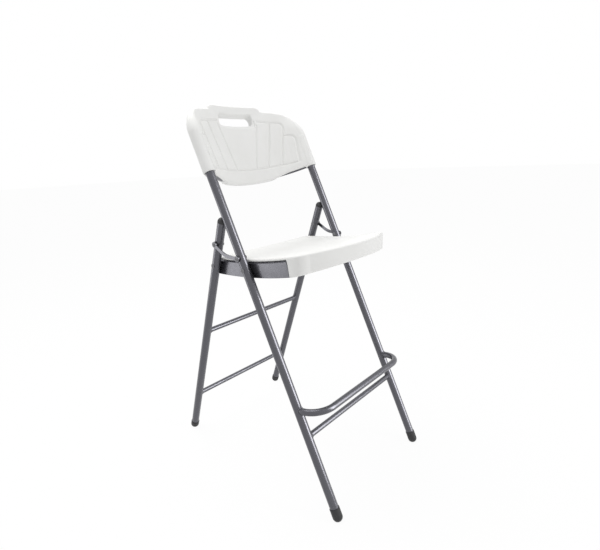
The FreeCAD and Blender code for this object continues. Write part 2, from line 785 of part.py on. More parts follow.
def seat_plan(half_width):
    """Outline of the seat from above: bowed front and back, rounded corners, straight sides."""
    corner, bow, back_bow = size("seat_corner_radius"), size("seat_front_bow"), size("seat_back_bow")
    bend = corner * (1 - math.sqrt(0.5))
    front_side = Vector(half_width, seat_front + bow + corner, 0)
    front_corner = Vector(half_width - bend, seat_front + bow + bend, 0)
    front_end = Vector(half_width - corner, seat_front + bow, 0)
    back_side = Vector(half_width, seat_back - back_bow - corner, 0)
    back_corner = Vector(half_width - bend, seat_back - back_bow - bend, 0)
    back_end = Vector(half_width - corner, seat_back - back_bow, 0)
    edges = [line(back_side, front_side), line(mirror_x(back_side), mirror_x(front_side)),
             arc(front_side, front_corner, front_end), arc(back_side, back_corner, back_end),
             arc(mirror_x(front_side), mirror_x(front_corner), mirror_x(front_end)),
             arc(mirror_x(back_side), mirror_x(back_corner), mirror_x(back_end)),
             arc(front_end, Vector(0, seat_front, 0), mirror_x(front_end)),
             arc(back_end, Vector(0, seat_back, 0), mirror_x(back_end))]
    return Part.Face(wire_of(edges))


def faces_up(face):
    """Whether the middle of a face looks upwards."""
    u_low, u_high, v_low, v_high = face.ParameterRange
    return face.normalAt((u_low + u_high) / 2, (v_low + v_high) / 2).z > 0.5


def seat_block():
    """The moulding before it is hollowed: a dished top, cut to the plan, with a rounded rim."""
    half, margin = size("rail_outer_x"), size("seat_corner_radius")
    top_left, top_right, low_right, low_left = [
        in_section(x, depth) for x, depth in
        ((-half, 0), (half, 0), (half, size("seat_skirt")), (-half, size("seat_skirt")))]
    section = [arc(top_left, in_section(0, size("seat_dish")), top_right),
               line(top_right, low_right), line(low_right, low_left), line(low_left, top_left)]
    column = seat_plan(half).extrude(Vector(0, 0, 2 * size("seat_pivot_height")))
    body = seat_sweep(section, seat_front - margin, seat_back + margin).common(column)
    top = max((face for face in body.Faces if faces_up(face)), key=lambda face: face.Area)
    return body.makeFillet(size("seat_edge_radius"), top.Edges)


def seat_shell():
    """The moulding: a slab with a lip over each rail, a hollow front skirt and recesses below."""
    half = size("rail_outer_x")
    inside = half - size("rail_depth") - size("rail_gap")
    slab_start, far = rail_front - size("rail_gap"), seat_back + size("seat_corner_radius")
    low = 2 * size("seat_skirt")
    body = seat_block()
    body = body.cut(seat_sweep(section_rectangle(-low - half, low + half, size("seat_slab"), low),
                               slab_start, far))
    for left, right in ((inside, low + half), (-low - half, -inside)):
        body = body.cut(seat_sweep(section_rectangle(left, right, size("seat_lip"), low),
                                   slab_start, far))
    roof = size("seat_dish") + size("seat_recess_wall")
    wall = size("seat_skirt_wall")
    front_room = seat_sweep(section_rectangle(-inside, inside, roof, low), seat_front,
                            slab_start - wall)
    inner_column = seat_plan(half).extrude(Vector(0, 0, 2 * size("seat_pivot_height")))
    inner_column.translate(Vector(0, wall, 0))
    body = body.cut(front_room.common(inner_column))
    rib = size("seat_recess_rib")
    cell = (2 * inside - 4 * rib) / 3
    rows = ((seat_bar_front_y + rib, seat_bar_rear_y - rib),
            (seat_bar_rear_y + rib, seat_back - 2 * size("seat_back_bow") - rib))
    for number in range(3):
        left = -inside + rib + number * (cell + rib)
        for front, back in rows:
            body = body.cut(seat_sweep(section_rectangle(left, left + cell, roof, low), front, back))
    item = doc.addObject("Part::Feature", "seat_moulding")
    item.Shape = body.removeSplitter()
    return node(item, "seat_shell")


seat_shell()


# Backrest panel, drawn in the front tubes' own frame: x across, y behind the tubes, z along them.
def panel_section(along, front, back):
    """Outline of the panel cut square to the tubes, between two offsets from its middle surface."""
    sag = panel_sag(along)
    ring_middle = ring_radius(sag)
    reach = math.asin(size("tube_axis_x") / ring_middle)

    def at(offset, turn):
        radius = ring_middle + offset
        return Vector(radius * math.sin(turn), sag - ring_middle + radius * math.cos(turn), along)

    return Part.Wire([arc(at(front, -reach), at(front, 0), at(front, reach)),
                      line(at(front, reach), at(back, reach)),
                      arc(at(back, reach), at(back, 0), at(back, -reach)),
                      line(at(back, -reach), at(front, -reach))])


def panel_layer(front, back):
    """The panel's curved sheet between two offsets, a little taller than the panel."""
    margin = size("panel_thickness")
    low, high = size("panel_bottom") - margin, panel_height("panel_crest_rise") + margin
    return Part.makeLoft([panel_section(low, front, back), panel_section(high, front, back)],
                         True, True)


def through(face):
    """A face of the panel's front view, stretched right through the panel."""
    reach = 2 * size("panel_sag_low")
    item = face.copy()
    item.translate(Vector(0, -reach, 0))
    return item.extrude(Vector(0, 2 * reach, 0))


def outline_through(points, rounded=(), radius=0.0):
    """A straight-sided outline stretched through the panel, with some of its corners rounded."""
    corners = [Vector(x, 0, z) for x, z in points]
    block = through(Part.Face(Part.makePolygon(corners + corners[:1])))
    if not rounded:
        return block
    chosen = [edge for edge in block.Edges
              if any(math.hypot(edge.CenterOfMass.x - corners[i].x, edge.CenterOfMass.z - corners[i].z)
                     < 0.01 for i in rounded)]
    return block.makeFillet(radius, chosen)


def both_sides(shape):
    """A shape with its mirror image across the middle of the stool."""
    return shape.fuse(shape.mirror(Vector(0, 0, 0), Vector(1, 0, 0)))


def panel_outline():
    """The panel seen square to the tubes: flat bottom, rounded shoulders, a step up to the crest."""
    half, bottom = size("panel_half_width"), size("panel_bottom")

    def corner(x, rise):
        return Vector(size(x), 0, panel_height(rise))

    side_top = corner("panel_half_width", "panel_side_rise")
    bulge = corner("panel_bulge_x", "panel_bulge_rise")
    shoulder = corner("panel_shoulder_x", "panel_shoulder_rise")
    step = corner("panel_step_x", "panel_step_rise")
    step_bend = corner("panel_step_bend_x", "panel_step_bend_rise")
    crest = corner("panel_crest_x", "panel_crest_side_rise")
    top = Vector(0, 0, panel_height("panel_crest_rise"))
    edges = [line(Vector(-half, 0, bottom), Vector(half, 0, bottom)),
             arc(crest, top, mirror_x(crest))]
    for side in (Vector, mirror_x):
        edges += [line(side(Vector(half, 0, bottom)), side(side_top)),
                  arc(side(side_top), side(bulge), side(shoulder)),
                  line(side(shoulder), side(step)), arc(side(step), side(step_bend), side(crest))]
    return Part.Face(wire_of(edges))


def column_x(index, along):
    """Where the leaning line after a column crosses a height."""
    lean = math.tan(math.radians(size("column_lean")))
    return (size("column_half_width") + index * size("column_pitch")
            + (along - panel_height("column_foot_rise")) * lean)


def columns_between(first, last, top_rise, margin):
    """Block over the columns between two lines, with its outer top corner rounded."""
    low = panel_height("column_foot_rise") - 2 * size("column_foot_fall")
    top = panel_height(top_rise) - margin
    points = [(column_x(first, low) + margin, low), (column_x(last, low) - margin, low),
              (column_x(last, top) - margin, top), (column_x(first, top) + margin, top)]
    return outline_through(points, (2,), size("column_corner_radius") - margin)


def middle_columns(last):
    """Block over the middle of the panel, out to one of the leaning lines on each side."""
    low = panel_height("column_foot_rise") - 2 * size("column_foot_fall")
    top = panel_height("column_top_rise")
    points = [(-column_x(last, low), low), (column_x(last, low), low),
              (column_x(last, top), top), (-column_x(last, top), top)]
    return outline_through(points, (2, 3) if last else (), size("column_corner_radius"))


def above_foot_line(margin):
    """Block above the bowed line where the columns end, over the plain band of the lower edge."""
    wide, high = size("tube_axis_x"), panel_height("panel_crest_rise")
    foot = panel_height("column_foot_rise") + margin
    side_foot = foot - size("column_foot_fall")
    right, left = Vector(wide, 0, side_foot), Vector(-wide, 0, side_foot)
    top_right, top_left = Vector(wide, 0, high), Vector(-wide, 0, high)
    return through(Part.Face(wire_of([
        arc(left, Vector(0, 0, foot), right), line(right, top_right), line(top_right, top_left),
        line(top_left, left)])))


def sunk_columns():
    """What is carved from the panel's face: a stepped field, and three columns each side of it."""
    face = -size("panel_thickness") / 2
    columns = middle_columns(2).fuse(both_sides(columns_between(1, 3, "outer_column_top_rise", 0)))
    field = columns.common(above_foot_line(0)).removeSplitter()
    carved = field.common(panel_layer(2 * face, face + size("field_depth")))
    margin = size("column_margin")
    deeper = panel_layer(2 * face, face + size("column_depth"))
    for column in (middle_columns(0),
                   both_sides(columns_between(1, 2, "column_top_rise", margin)),
                   both_sides(columns_between(2, 3, "outer_column_top_rise", margin))):
        carved = carved.fuse(column.common(above_foot_line(margin)).common(deeper))
    return carved


def hand_slot():
    half_width, half_height = size("hand_slot_width") / 2, size("hand_slot_height") / 2
    middle = panel_height("hand_slot_rise")
    points = [(-half_width, middle - half_height), (half_width, middle - half_height),
              (half_width, middle + half_height), (-half_width, middle + half_height)]
    return outline_through(points, range(4), half_height - size("sleeve_clearance"))


def rounded_sheet():
    """The panel's sheet with its hand slot, rounded along its outline and round the slot."""
    half = size("panel_thickness") / 2
    body = panel_layer(-half, half).common(through(panel_outline())).cut(hand_slot())
    middle, reach = panel_height("hand_slot_rise"), size("hand_slot_width")

    def edges_of_two_large_faces(shape):
        large = sorted(shape.Faces, key=lambda face: -face.Area)[:2]
        return [edge for face in large for edge in face.Edges
                if abs(edge.CenterOfMass.x) < size("tube_axis_x") - half]

    def at_slot(edge):
        box = edge.BoundBox
        return max(box.XMax, -box.XMin) < reach and abs(box.Center.z - middle) < reach / 4

    outer = [edge for edge in edges_of_two_large_faces(body) if not at_slot(edge)]
    body = body.makeFillet(size("panel_edge_radius"), outer)
    lips = [edge for edge in edges_of_two_large_faces(body) if at_slot(edge)]
    return body.makeFillet(size("hand_slot_lip_radius"), lips)


def block(x_from, x_to, z_from, z_to):
    """A plain block through the panel between two places across and two heights."""
    return outline_through([(x_from, z_from), (x_to, z_from), (x_to, z_to), (x_from, z_to)])


def sleeve(x):
    """The round swelling that takes the top of a front tube, with a rounded end."""
    start, end = panel_height("sleeve_start_rise"), panel_height("sleeve_end_rise")
    barrel = Part.makeCylinder(size("sleeve_radius"), end - start, Vector(x, 0, start))
    ball = Part.makeSphere(size("sleeve_radius"), Vector(x, 0, end))
    reach = 2 * size("sleeve_radius")
    return barrel.fuse(ball.common(block(x - reach, x + reach, end, end + reach)))


def back_panel():
    tube_x, bottom = size("tube_axis_x"), size("panel_bottom")
    under = bottom - size("panel_thickness")
    body = rounded_sheet().cut(sunk_columns())
    for side in (1, -1):
        body = body.fuse(sleeve(side * tube_x))
    body = body.cut(both_sides(block(size("panel_notch_x"), tube_x, under,
                                     panel_height("panel_notch_rise"))))
    body = body.cut(both_sides(block(tube_x, 2 * tube_x, under, panel_height("sleeve_start_rise"))))
    channel = size("bar_diameter") / 2 + size("channel_clearance")
    body = body.cut(panel_layer(-channel, channel).common(block(-tube_x, tube_x, under, bar_along)))
    ring = size("bar_ring_radius")
    body = body.cut(Part.makeTorus(ring, channel, Vector(0, bar_sag - ring, bar_along)))
    bore = size("tube_diameter") / 2 + size("sleeve_clearance")
    depth = size("front_tube_top") + size("sleeve_clearance")
    for side in (1, -1):
        body = body.cut(Part.makeCylinder(bore, depth, Vector(side * tube_x, 0, 0)))
    item = doc.addObject("Part::Feature", "backrest_moulding")
    item.Shape = body
    item.Placement = place(front_foot, front_turn)
    return node(item, "back_panel")


back_panel()


def write_parts():
    """Check every object, then write each sub-part to its own file."""
    doc.recompute()
    for item in doc.Objects:
        assert not {"Invalid", "Error"} & set(item.State), item.Label + " failed to build"
    for name, item in nodes.items():
        assert not item.Shape.isNull() and item.Shape.isValid(), name + " has no valid shape"
        assert item.Shape.Volume > 0, name + " has no volume"
    os.makedirs("parts", exist_ok=True)
    for name, item in nodes.items():
        item.Shape.exportStep("parts/%s.step" % name)


write_parts()
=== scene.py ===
import json
import math

import bmesh
import bpy
import numpy as np
from mathutils import Matrix, Vector

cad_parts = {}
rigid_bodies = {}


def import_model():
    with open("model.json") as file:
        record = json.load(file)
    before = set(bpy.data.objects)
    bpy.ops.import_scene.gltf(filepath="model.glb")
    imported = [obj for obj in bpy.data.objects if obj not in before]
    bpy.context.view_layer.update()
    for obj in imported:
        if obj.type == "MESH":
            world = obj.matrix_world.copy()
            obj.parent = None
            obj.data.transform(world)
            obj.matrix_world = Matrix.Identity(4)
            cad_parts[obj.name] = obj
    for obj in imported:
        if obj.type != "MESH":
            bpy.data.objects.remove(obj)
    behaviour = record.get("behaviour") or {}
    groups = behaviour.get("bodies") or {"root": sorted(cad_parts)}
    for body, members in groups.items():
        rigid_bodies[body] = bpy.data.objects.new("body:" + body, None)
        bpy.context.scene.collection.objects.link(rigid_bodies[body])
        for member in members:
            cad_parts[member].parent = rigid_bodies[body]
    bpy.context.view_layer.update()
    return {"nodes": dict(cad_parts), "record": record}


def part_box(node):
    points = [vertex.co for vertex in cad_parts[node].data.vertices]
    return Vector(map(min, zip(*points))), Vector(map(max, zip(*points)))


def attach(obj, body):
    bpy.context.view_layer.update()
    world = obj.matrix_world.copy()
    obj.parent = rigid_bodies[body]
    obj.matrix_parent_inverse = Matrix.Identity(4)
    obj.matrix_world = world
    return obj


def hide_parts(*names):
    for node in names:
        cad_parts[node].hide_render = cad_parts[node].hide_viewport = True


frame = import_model()
nodes = frame["nodes"]
record = frame["record"]
slot_of = {part["node"]: part["material_slot"] for part in record["subparts"]}
body_of = {name: body for body, members in record["behaviour"]["bodies"].items()
           for name in members}

# Camera: solved from the tube edges of the photograph, in metres, degrees and pixels.
IMAGE_WIDTH = 600
IMAGE_HEIGHT = 550
CAMERA_PLACE = Vector((-0.9213, -0.8770, 0.9394))
CAMERA_AZIMUTH = -46.99
CAMERA_ELEVATION = 17.05
CAMERA_ROLL = -2.60
FOCAL_PIXELS = 412.35
CENTRE_COLUMN = 295.8
CENTRE_ROW = 287.3

# Light and floor. A strength of 1 is white.
WORLD_LIGHT = 0.66
FLOOR_COLOUR = 0.92
FLOOR_GLOW = 0.95

# The frame's own lines, in metres and degrees, where beads of weld run.
TUBE_AXIS_X = 0.214
TUBE_RADIUS = 0.0127
FOOT_BALL = (0.3335, 0.011)
FRONT_LEAN = 24.7
REAR_LEAN = 20.0
FOOTREST_HEIGHT = 0.290
FOOTREST_RISE = 9.0
FOOTREST_RADIUS = 0.0095
BEAD_RADIUS = 0.0019
BEAD_STEPS = 180
BEAD_RING = 10
BEAD_RIPPLES = 34

# The backrest: across, behind the front tubes, and along them from its lower edge (a rise).
PANEL_BOTTOM = 0.993
PANEL_HALF_THICK = 0.010
SAG_LOW = 0.101
SAG_HIGH = 0.055
CREST_RISE = 0.255
SHOULDER_RISE = 0.216
SEEN_CREST_RISE = 0.2445
PANEL_VOXEL = 0.0016
PANEL_PASSES = 3

# Its lower band, which steps up beside the middle and thins out towards the sleeves.
BAND_TOP = 0.026
BAND_REACH = 0.197
BAND_SKIN = 0.0001
EDGE_RADIUS = 0.007
NOTCH_FROM = 0.096
NOTCH_TO = 0.120
BAR_RISE = 0.006
NOTCH_RISE = 0.006

# Its sleeves round the tubes: the mouth, the filled bore, and the swelling into the sheet.
SLEEVE_RADIUS = 0.0185
MOUTH_INSIDE = 0.01285
MOUTH_RISES = (0.0062, 0.031)
PLUG_RADIUS = 0.0138
PLUG_RISES = (0.034, 0.150)
CHEEK_WIDTH = 0.052
CHEEK_ROOT = 0.0094
CHEEK_TIP = 0.0094
CHEEK_RISES = (0.010, 0.200)
CHEEK_THINS_FROM = 0.132

# The outline's rounded upper corner: three points across and along, and how it is melted.
CORNER_POINTS = ((0.232, 0.128), (0.214, 0.174), (0.150, 0.217))
CORNER_CAP = 0.192
CORNER_EDGE = 0.001
CORNER_FADE = 0.020
CORNER_ACROSS = 0.140
CORNER_PASSES = 10
CORNER_LEVELS = (0.25, 0.5, 0.75, 1.0)

# Its hand slot, the rolled rim behind it, and the slot's wider and squarer ends.
SLOT_RISE = 0.195
SLOT_HALF_WIDTH = 0.060
SLOT_HALF_HEIGHT = 0.0175
RIM_FRONT = 0.004
RIM_WIDTH = 0.012
RIM_FLAT = 0.6
RIM_BACK = 0.0125
RIM_BACK_ABOVE = 0.019
SLOT_WIDER = 0.0075
SLOT_HIGHER = 0.0045
SLOT_SQUARENESS = 3.4

# Its face: the filled fields, as reach across and along, and the grooves between the columns.
FACE_DEPTH = 0.0099
FIELDS = ((-0.187, 0.187, 0.022, 0.134), (-0.181, 0.181, 0.130, 0.172),
          (-0.181, -0.067, 0.168, 0.1945), (0.067, 0.181, 0.168, 0.1945))
GROOVE_HALF_WIDTH = 0.0042
GROOVE_DEPTH = 0.0030
COLUMN_HALF_WIDTH = 0.041
COLUMN_PITCH = 0.0477
COLUMN_LEANS = (15.6, 15.6, 15.2, 5.6)
COLUMN_FOOT = 0.043
FOOT_FALL = 0.012
TALL_TOP = 0.193
LOW_TOP = 0.132
TOP_FALL = 0.20
FIRST_LINE_SHORT = 0.012
COLUMN_CORNER = 0.024

# The seat's front skirt: where its stretch starts below the top, how far, and how it fades out.
SEAT_VOXEL = 0.0020
SEAT_PASSES = 4
SKIRT_FROM = 0.018
SKIRT_DEEPER = 0.010
SKIRT_FADE = 0.006

SIDES = (("left", 1), ("right", -1))


def make_camera():
    """A camera at the photograph's viewpoint, with its lens and framing."""
    azimuth = math.radians(CAMERA_AZIMUTH)
    elevation = math.radians(CAMERA_ELEVATION)
    roll = math.radians(CAMERA_ROLL)
    back = Vector((math.sin(azimuth) * math.cos(elevation),
                   -math.cos(azimuth) * math.cos(elevation), math.sin(elevation)))
    level = Vector((math.cos(azimuth), math.sin(azimuth), 0))
    upright = back.cross(level)
    right = level * math.cos(roll) + upright * math.sin(roll)
    up = upright * math.cos(roll) - level * math.sin(roll)
    data = bpy.data.cameras.new("camera")
    data.sensor_width = 36
    data.lens = data.sensor_width * FOCAL_PIXELS / IMAGE_WIDTH
    data.shift_x = (IMAGE_WIDTH / 2 - CENTRE_COLUMN) / IMAGE_WIDTH
    data.shift_y = (CENTRE_ROW - IMAGE_HEIGHT / 2) / IMAGE_WIDTH
    data.clip_start = 0.05
    camera = bpy.data.objects.new("camera", data)
    bpy.context.scene.collection.objects.link(camera)
    turn = Matrix((right, up, back)).transposed().to_4x4()
    camera.matrix_world = Matrix.Translation(CAMERA_PLACE) @ turn
    bpy.context.scene.camera = camera


def area_light(name, place, target, width, height, power):
    """A large soft lamp of a size in metres and a power in watts, aimed at a point."""
    data = bpy.data.lights.new(name, "AREA")
    data.shape = "RECTANGLE"
    data.size = width
    data.size_y = height
    data.energy = power
    lamp = bpy.data.objects.new(name, data)
    lamp.location = place
    lamp.rotation_euler = (Vector(target) - Vector(place)).to_track_quat("-Z", "Y").to_euler()
    bpy.context.scene.collection.objects.link(lamp)
    return lamp


def node_tree(name):
    """A new material with its node tree and a shader wired to the output."""
    material = bpy.data.materials.new(name)
    material.use_nodes = True
    tree = material.node_tree
    shader = tree.nodes["Principled BSDF"]
    return material, tree, shader


def camera_seen(tree):
    """One where a ray comes from the camera, a mirror or through glass, and zero elsewhere."""
    path = tree.nodes.new("ShaderNodeLightPath")
    seen = path.outputs["Is Camera Ray"]
    for other in ("Is Glossy Ray", "Is Transmission Ray"):
        larger = tree.nodes.new("ShaderNodeMath")
        larger.operation = "MAXIMUM"
        tree.links.new(seen, larger.inputs[0])
        tree.links.new(path.outputs[other], larger.inputs[1])
        seen = larger.outputs[0]
    return seen


def make_world():
    """Even soft light, seen as white."""
    world = bpy.data.worlds.new("studio")
    bpy.context.scene.world = world
    world.use_nodes = True
    tree = world.node_tree
    background = tree.nodes["Background"]
    background.inputs["Color"].default_value = (1, 1, 1, 1)
    strength = tree.nodes.new("ShaderNodeMix")
    strength.data_type = "FLOAT"
    strength.inputs[2].default_value = WORLD_LIGHT
    strength.inputs[3].default_value = 1.0
    tree.links.new(camera_seen(tree), strength.inputs[0])
    tree.links.new(strength.outputs[0], background.inputs["Strength"])


def make_floor():
    """A pale floor that looks white and keeps the stool's shadow."""
    mesh = bpy.data.meshes.new("floor")
    reach = 30.0
    corners = [(-reach, -reach, 0), (reach, -reach, 0), (reach, reach, 0), (-reach, reach, 0)]
    mesh.from_pydata(corners, [], [(0, 1, 2, 3)])
    floor = bpy.data.objects.new("floor", mesh)
    bpy.context.scene.collection.objects.link(floor)
    material, tree, shader = node_tree("floor_paint")
    shader.inputs["Base Color"].default_value = (FLOOR_COLOUR, FLOOR_COLOUR, FLOOR_COLOUR, 1)
    shader.inputs["Roughness"].default_value = 1.0
    shader.inputs["Specular IOR Level"].default_value = 0.0
    glow = tree.nodes.new("ShaderNodeEmission")
    glow.inputs["Strength"].default_value = 1.0
    share = tree.nodes.new("ShaderNodeMath")
    share.operation = "MULTIPLY"
    share.inputs[1].default_value = FLOOR_GLOW
    tree.links.new(camera_seen(tree), share.inputs[0])
    mix = tree.nodes.new("ShaderNodeMixShader")
    tree.links.new(share.outputs[0], mix.inputs[0])
    tree.links.new(shader.outputs[0], mix.inputs[1])
    tree.links.new(glow.outputs[0], mix.inputs[2])
    tree.links.new(mix.outputs[0], tree.nodes["Material Output"].inputs["Surface"])
    mesh.materials.append(material)


def noise(tree, scale, detail=2.0, rough=0.5):
    """A noise texture over the object's own coordinates."""
    where = tree.nodes.new("ShaderNodeTexCoord")
    texture = tree.nodes.new("ShaderNodeTexNoise")
    texture.inputs["Scale"].default_value = scale
    texture.inputs["Detail"].default_value = detail
    texture.inputs["Roughness"].default_value = rough
    tree.links.new(where.outputs["Object"], texture.inputs["Vector"])
    return texture.outputs["Fac"]


def cells(tree, scale, blur):
    """Soft cells over the object's own coordinates, as the pebble grain of a mould."""
    where = tree.nodes.new("ShaderNodeTexCoord")
    texture = tree.nodes.new("ShaderNodeTexVoronoi")
    texture.feature = "SMOOTH_F1"
    texture.inputs["Scale"].default_value = scale
    texture.inputs["Smoothness"].default_value = blur
    tree.links.new(where.outputs["Object"], texture.inputs["Vector"])
    return texture.outputs["Distance"]


def spread(tree, value, low, high, start=0.3, end=0.7):
    """The value stretched from start..end to low..high."""
    reach = tree.nodes.new("ShaderNodeMapRange")
    reach.inputs["From Min"].default_value = start
    reach.inputs["From Max"].default_value = end
    reach.inputs["To Min"].default_value = low
    reach.inputs["To Max"].default_value = high
    tree.links.new(value, reach.inputs["Value"])
    return reach.outputs["Result"]


def tint(tree, value, dark, light):
    """A colour between two, chosen by the value."""
    mix = tree.nodes.new("ShaderNodeMix")
    mix.data_type = "RGBA"
    mix.inputs[6].default_value = (*dark, 1)
    mix.inputs[7].default_value = (*light, 1)
    tree.links.new(value, mix.inputs[0])
    return mix.outputs[2]


def bump(tree, value, depth, under=None):
    """Fine relief of the given depth in metres, over the relief under it."""
    relief = tree.nodes.new("ShaderNodeBump")
    relief.inputs["Strength"].default_value = 1.0
    relief.inputs["Distance"].default_value = depth
    tree.links.new(value, relief.inputs["Height"])
    if under is not None:
        tree.links.new(under, relief.inputs["Normal"])
    return relief.outputs["Normal"]


def white_plastic():
    """Blow-moulded white plastic: satin, with a fine pebble grain and faint clouding."""
    material, tree, shader = node_tree("white_plastic")
    clouds = spread(tree, noise(tree, 9.0, 3.0), 0.0, 1.0)
    tree.links.new(tint(tree, clouds, (0.775, 0.775, 0.76), (0.81, 0.81, 0.80)),
                   shader.inputs["Base Color"])
    tree.links.new(spread(tree, noise(tree, 140.0), 0.52, 0.64), shader.inputs["Roughness"])
    shader.inputs["Specular IOR Level"].default_value = 0.12
    swell = bump(tree, noise(tree, 45.0, 1.0), 0.0003)
    tree.links.new(bump(tree, cells(tree, 650.0, 0.6), 0.00005, swell), shader.inputs["Normal"])
    return material


def grey_steel():
    """Grey powder coat with a soft metallic sheen and a little orange peel."""
    material, tree, shader = node_tree("grey_steel")
    flakes = spread(tree, noise(tree, 900.0, 2.0), 0.0, 1.0, 0.35, 0.65)
    tree.links.new(tint(tree, flakes, (0.088, 0.088, 0.100), (0.106, 0.106, 0.120)),
                   shader.inputs["Base Color"])
    tree.links.new(spread(tree, noise(tree, 60.0), 0.25, 0.31), shader.inputs["Roughness"])
    tree.links.new(bump(tree, noise(tree, 260.0, 1.0), 0.000006), shader.inputs["Normal"])
    shader.inputs["Metallic"].default_value = 0.8
    shader.inputs["Coat Weight"].default_value = 0.3
    shader.inputs["Coat Roughness"].default_value = 0.14
    return material


def black_plastic(name, grain, rough):
    """Matt black moulded plastic."""
    material, tree, shader = node_tree(name)
    tree.links.new(tint(tree, noise(tree, 60.0, 3.0), (0.016, 0.016, 0.017), (0.030, 0.030, 0.032)),
                   shader.inputs["Base Color"])
    tree.links.new(spread(tree, noise(tree, 250.0), rough - 0.07, rough + 0.07),
                   shader.inputs["Roughness"])
    tree.links.new(bump(tree, cells(tree, grain, 0.4), 0.0001), shader.inputs["Normal"])
    return material


def zinc_steel():
    """Dulled zinc plate with a faint turned grain."""
    material, tree, shader = node_tree("zinc_steel")
    tree.links.new(tint(tree, noise(tree, 700.0, 3.0), (0.15, 0.15, 0.16), (0.24, 0.24, 0.25)),
                   shader.inputs["Base Color"])
    tree.links.new(spread(tree, noise(tree, 400.0), 0.34, 0.46), shader.inputs["Roughness"])
    tree.links.new(bump(tree, noise(tree, 900.0), 0.00002), shader.inputs["Normal"])
    shader.inputs["Metallic"].default_value = 1.0
    return material


def give(piece, slot):
    """The piece takes a slot's finish."""
    piece.data.materials.clear()
    piece.data.materials.append(finishes[slot])


def new_piece(name, mesh, body, slot):
    """A finished piece that rides on a body."""
    piece = bpy.data.objects.new(name, mesh)
    bpy.context.scene.collection.objects.link(piece)
    give(piece, slot)
    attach(piece, body)
    return piece


def solid_tube(rings):
    """A closed mesh through rings of points, each ring of the same count."""
    count = len(rings[0])
    points = [point for ring in rings for point in ring]
    faces = [tuple(range(count - 1, -1, -1)),
             tuple(range((len(rings) - 1) * count, len(rings) * count))]
    for level in range(len(rings) - 1):
        for corner in range(count):
            a, b = level * count + corner, level * count + (corner + 1) % count
            faces.append((a, b, b + count, a + count))
    return points, faces


def solid_ring(sections):
    """A closed mesh round a hole: sections of the same few points, the last joined to the first."""
    count, length = len(sections[0]), len(sections)
    points = [point for section in sections for point in section]
    faces = []
    for level in range(length):
        after = (level + 1) % length
        for corner in range(count):
            other = (corner + 1) % count
            faces.append((level * count + corner, level * count + other,
                          after * count + other, after * count + corner))
    return points, faces


def on_tube(x, behind, rise):
    """A point given across, behind the front tubes and along them from the backrest's edge."""
    lean = math.radians(FRONT_LEAN)
    along = rise + PANEL_BOTTOM
    return Vector((x, behind * math.cos(lean) + along * math.sin(lean) - FOOT_BALL[0],
                   along * math.cos(lean) - behind * math.sin(lean) + FOOT_BALL[1]))


def panel_ring(rise):
    """Sag and radius of the backrest's middle surface at a rise."""
    sag = SAG_LOW + (SAG_HIGH - SAG_LOW) * rise / CREST_RISE
    return sag, (TUBE_AXIS_X ** 2 + sag ** 2) / (2 * sag)


def on_panel(x, deep, rise):
    """A point of the backrest at a depth behind its middle surface."""
    sag, radius = panel_ring(rise)
    return on_tube(x, sag - radius + math.sqrt((radius + deep) ** 2 - x * x), rise)


def eased(value):
    """The value, or each of its values, from zero to one with a soft start and end."""
    value = np.clip(value, 0, 1)
    return value * value * (3 - 2 * value)


def lower_band():
    """The backrest's lower edge: a rounded bar that follows its curve and thins at its ends."""
    corner, half = EDGE_RADIUS, PANEL_HALF_THICK + BAND_SKIN
    bend = [math.radians(turn) for turn in range(0, 91, 15)]
    rings = []
    for step in range(97):
        x = BAND_REACH * (step / 48 - 1)
        step_up = BAR_RISE * eased((abs(x) - NOTCH_FROM) / (NOTCH_TO - NOTCH_FROM))
        thinner = NOTCH_RISE * max(abs(x) - NOTCH_TO, 0.0) / (BAND_REACH - NOTCH_TO)
        low = step_up + thinner - BAND_SKIN
        shape = [(corner * math.cos(turn) + half - corner, low + corner - corner * math.sin(turn))
                 for turn in bend]
        shape += [(-deep, rise) for deep, rise in shape[::-1]]
        shape += [(-half, BAND_TOP), (half, BAND_TOP)]
        rings.append([on_panel(x, deep, rise) for deep, rise in shape])
    return solid_tube(rings)


def column_line(index, rise):
    """Where the leaning line after a column crosses a rise."""
    return (COLUMN_HALF_WIDTH + index * COLUMN_PITCH
            + (rise - COLUMN_FOOT) * math.tan(math.radians(COLUMN_LEANS[index])))


def face_fill():
    """Brings the carved fields back to the backrest's face, where grooves then part them."""
    parts = []
    inside = PANEL_HALF_THICK / 2
    for x_from, x_to, low, high in FIELDS:
        rings = []
        for step in range(41):
            x = x_from + (x_to - x_from) * step / 40
            rings.append([on_panel(x, -FACE_DEPTH, low), on_panel(x, -FACE_DEPTH, high),
                          on_panel(x, -inside, high), on_panel(x, -inside, low)])
        parts.append(solid_tube(rings))
    return parts


def sleeve_mouth(side):
    """The full round wall at a sleeve's lower end."""
    low, high = MOUTH_RISES
    corners = ((MOUTH_INSIDE, low), (SLEEVE_RADIUS, low),
               (SLEEVE_RADIUS, high), (MOUTH_INSIDE, high))
    sections = []
    for step in range(64):
        turn = 2 * math.pi * step / 64
        sections.append([on_tube(side * TUBE_AXIS_X + radius * math.cos(turn),
                                 radius * math.sin(turn), rise)
                         for radius, rise in corners])
    return solid_ring(sections)


def bore_plug(side):
    """Fills the sleeve's bore, which the tube's top fills as well."""
    turns = [2 * math.pi * step / 48 for step in range(48)]
    return solid_tube([[on_tube(side * TUBE_AXIS_X + PLUG_RADIUS * math.cos(turn),
                                PLUG_RADIUS * math.sin(turn), rise) for turn in turns]
                       for rise in PLUG_RISES])


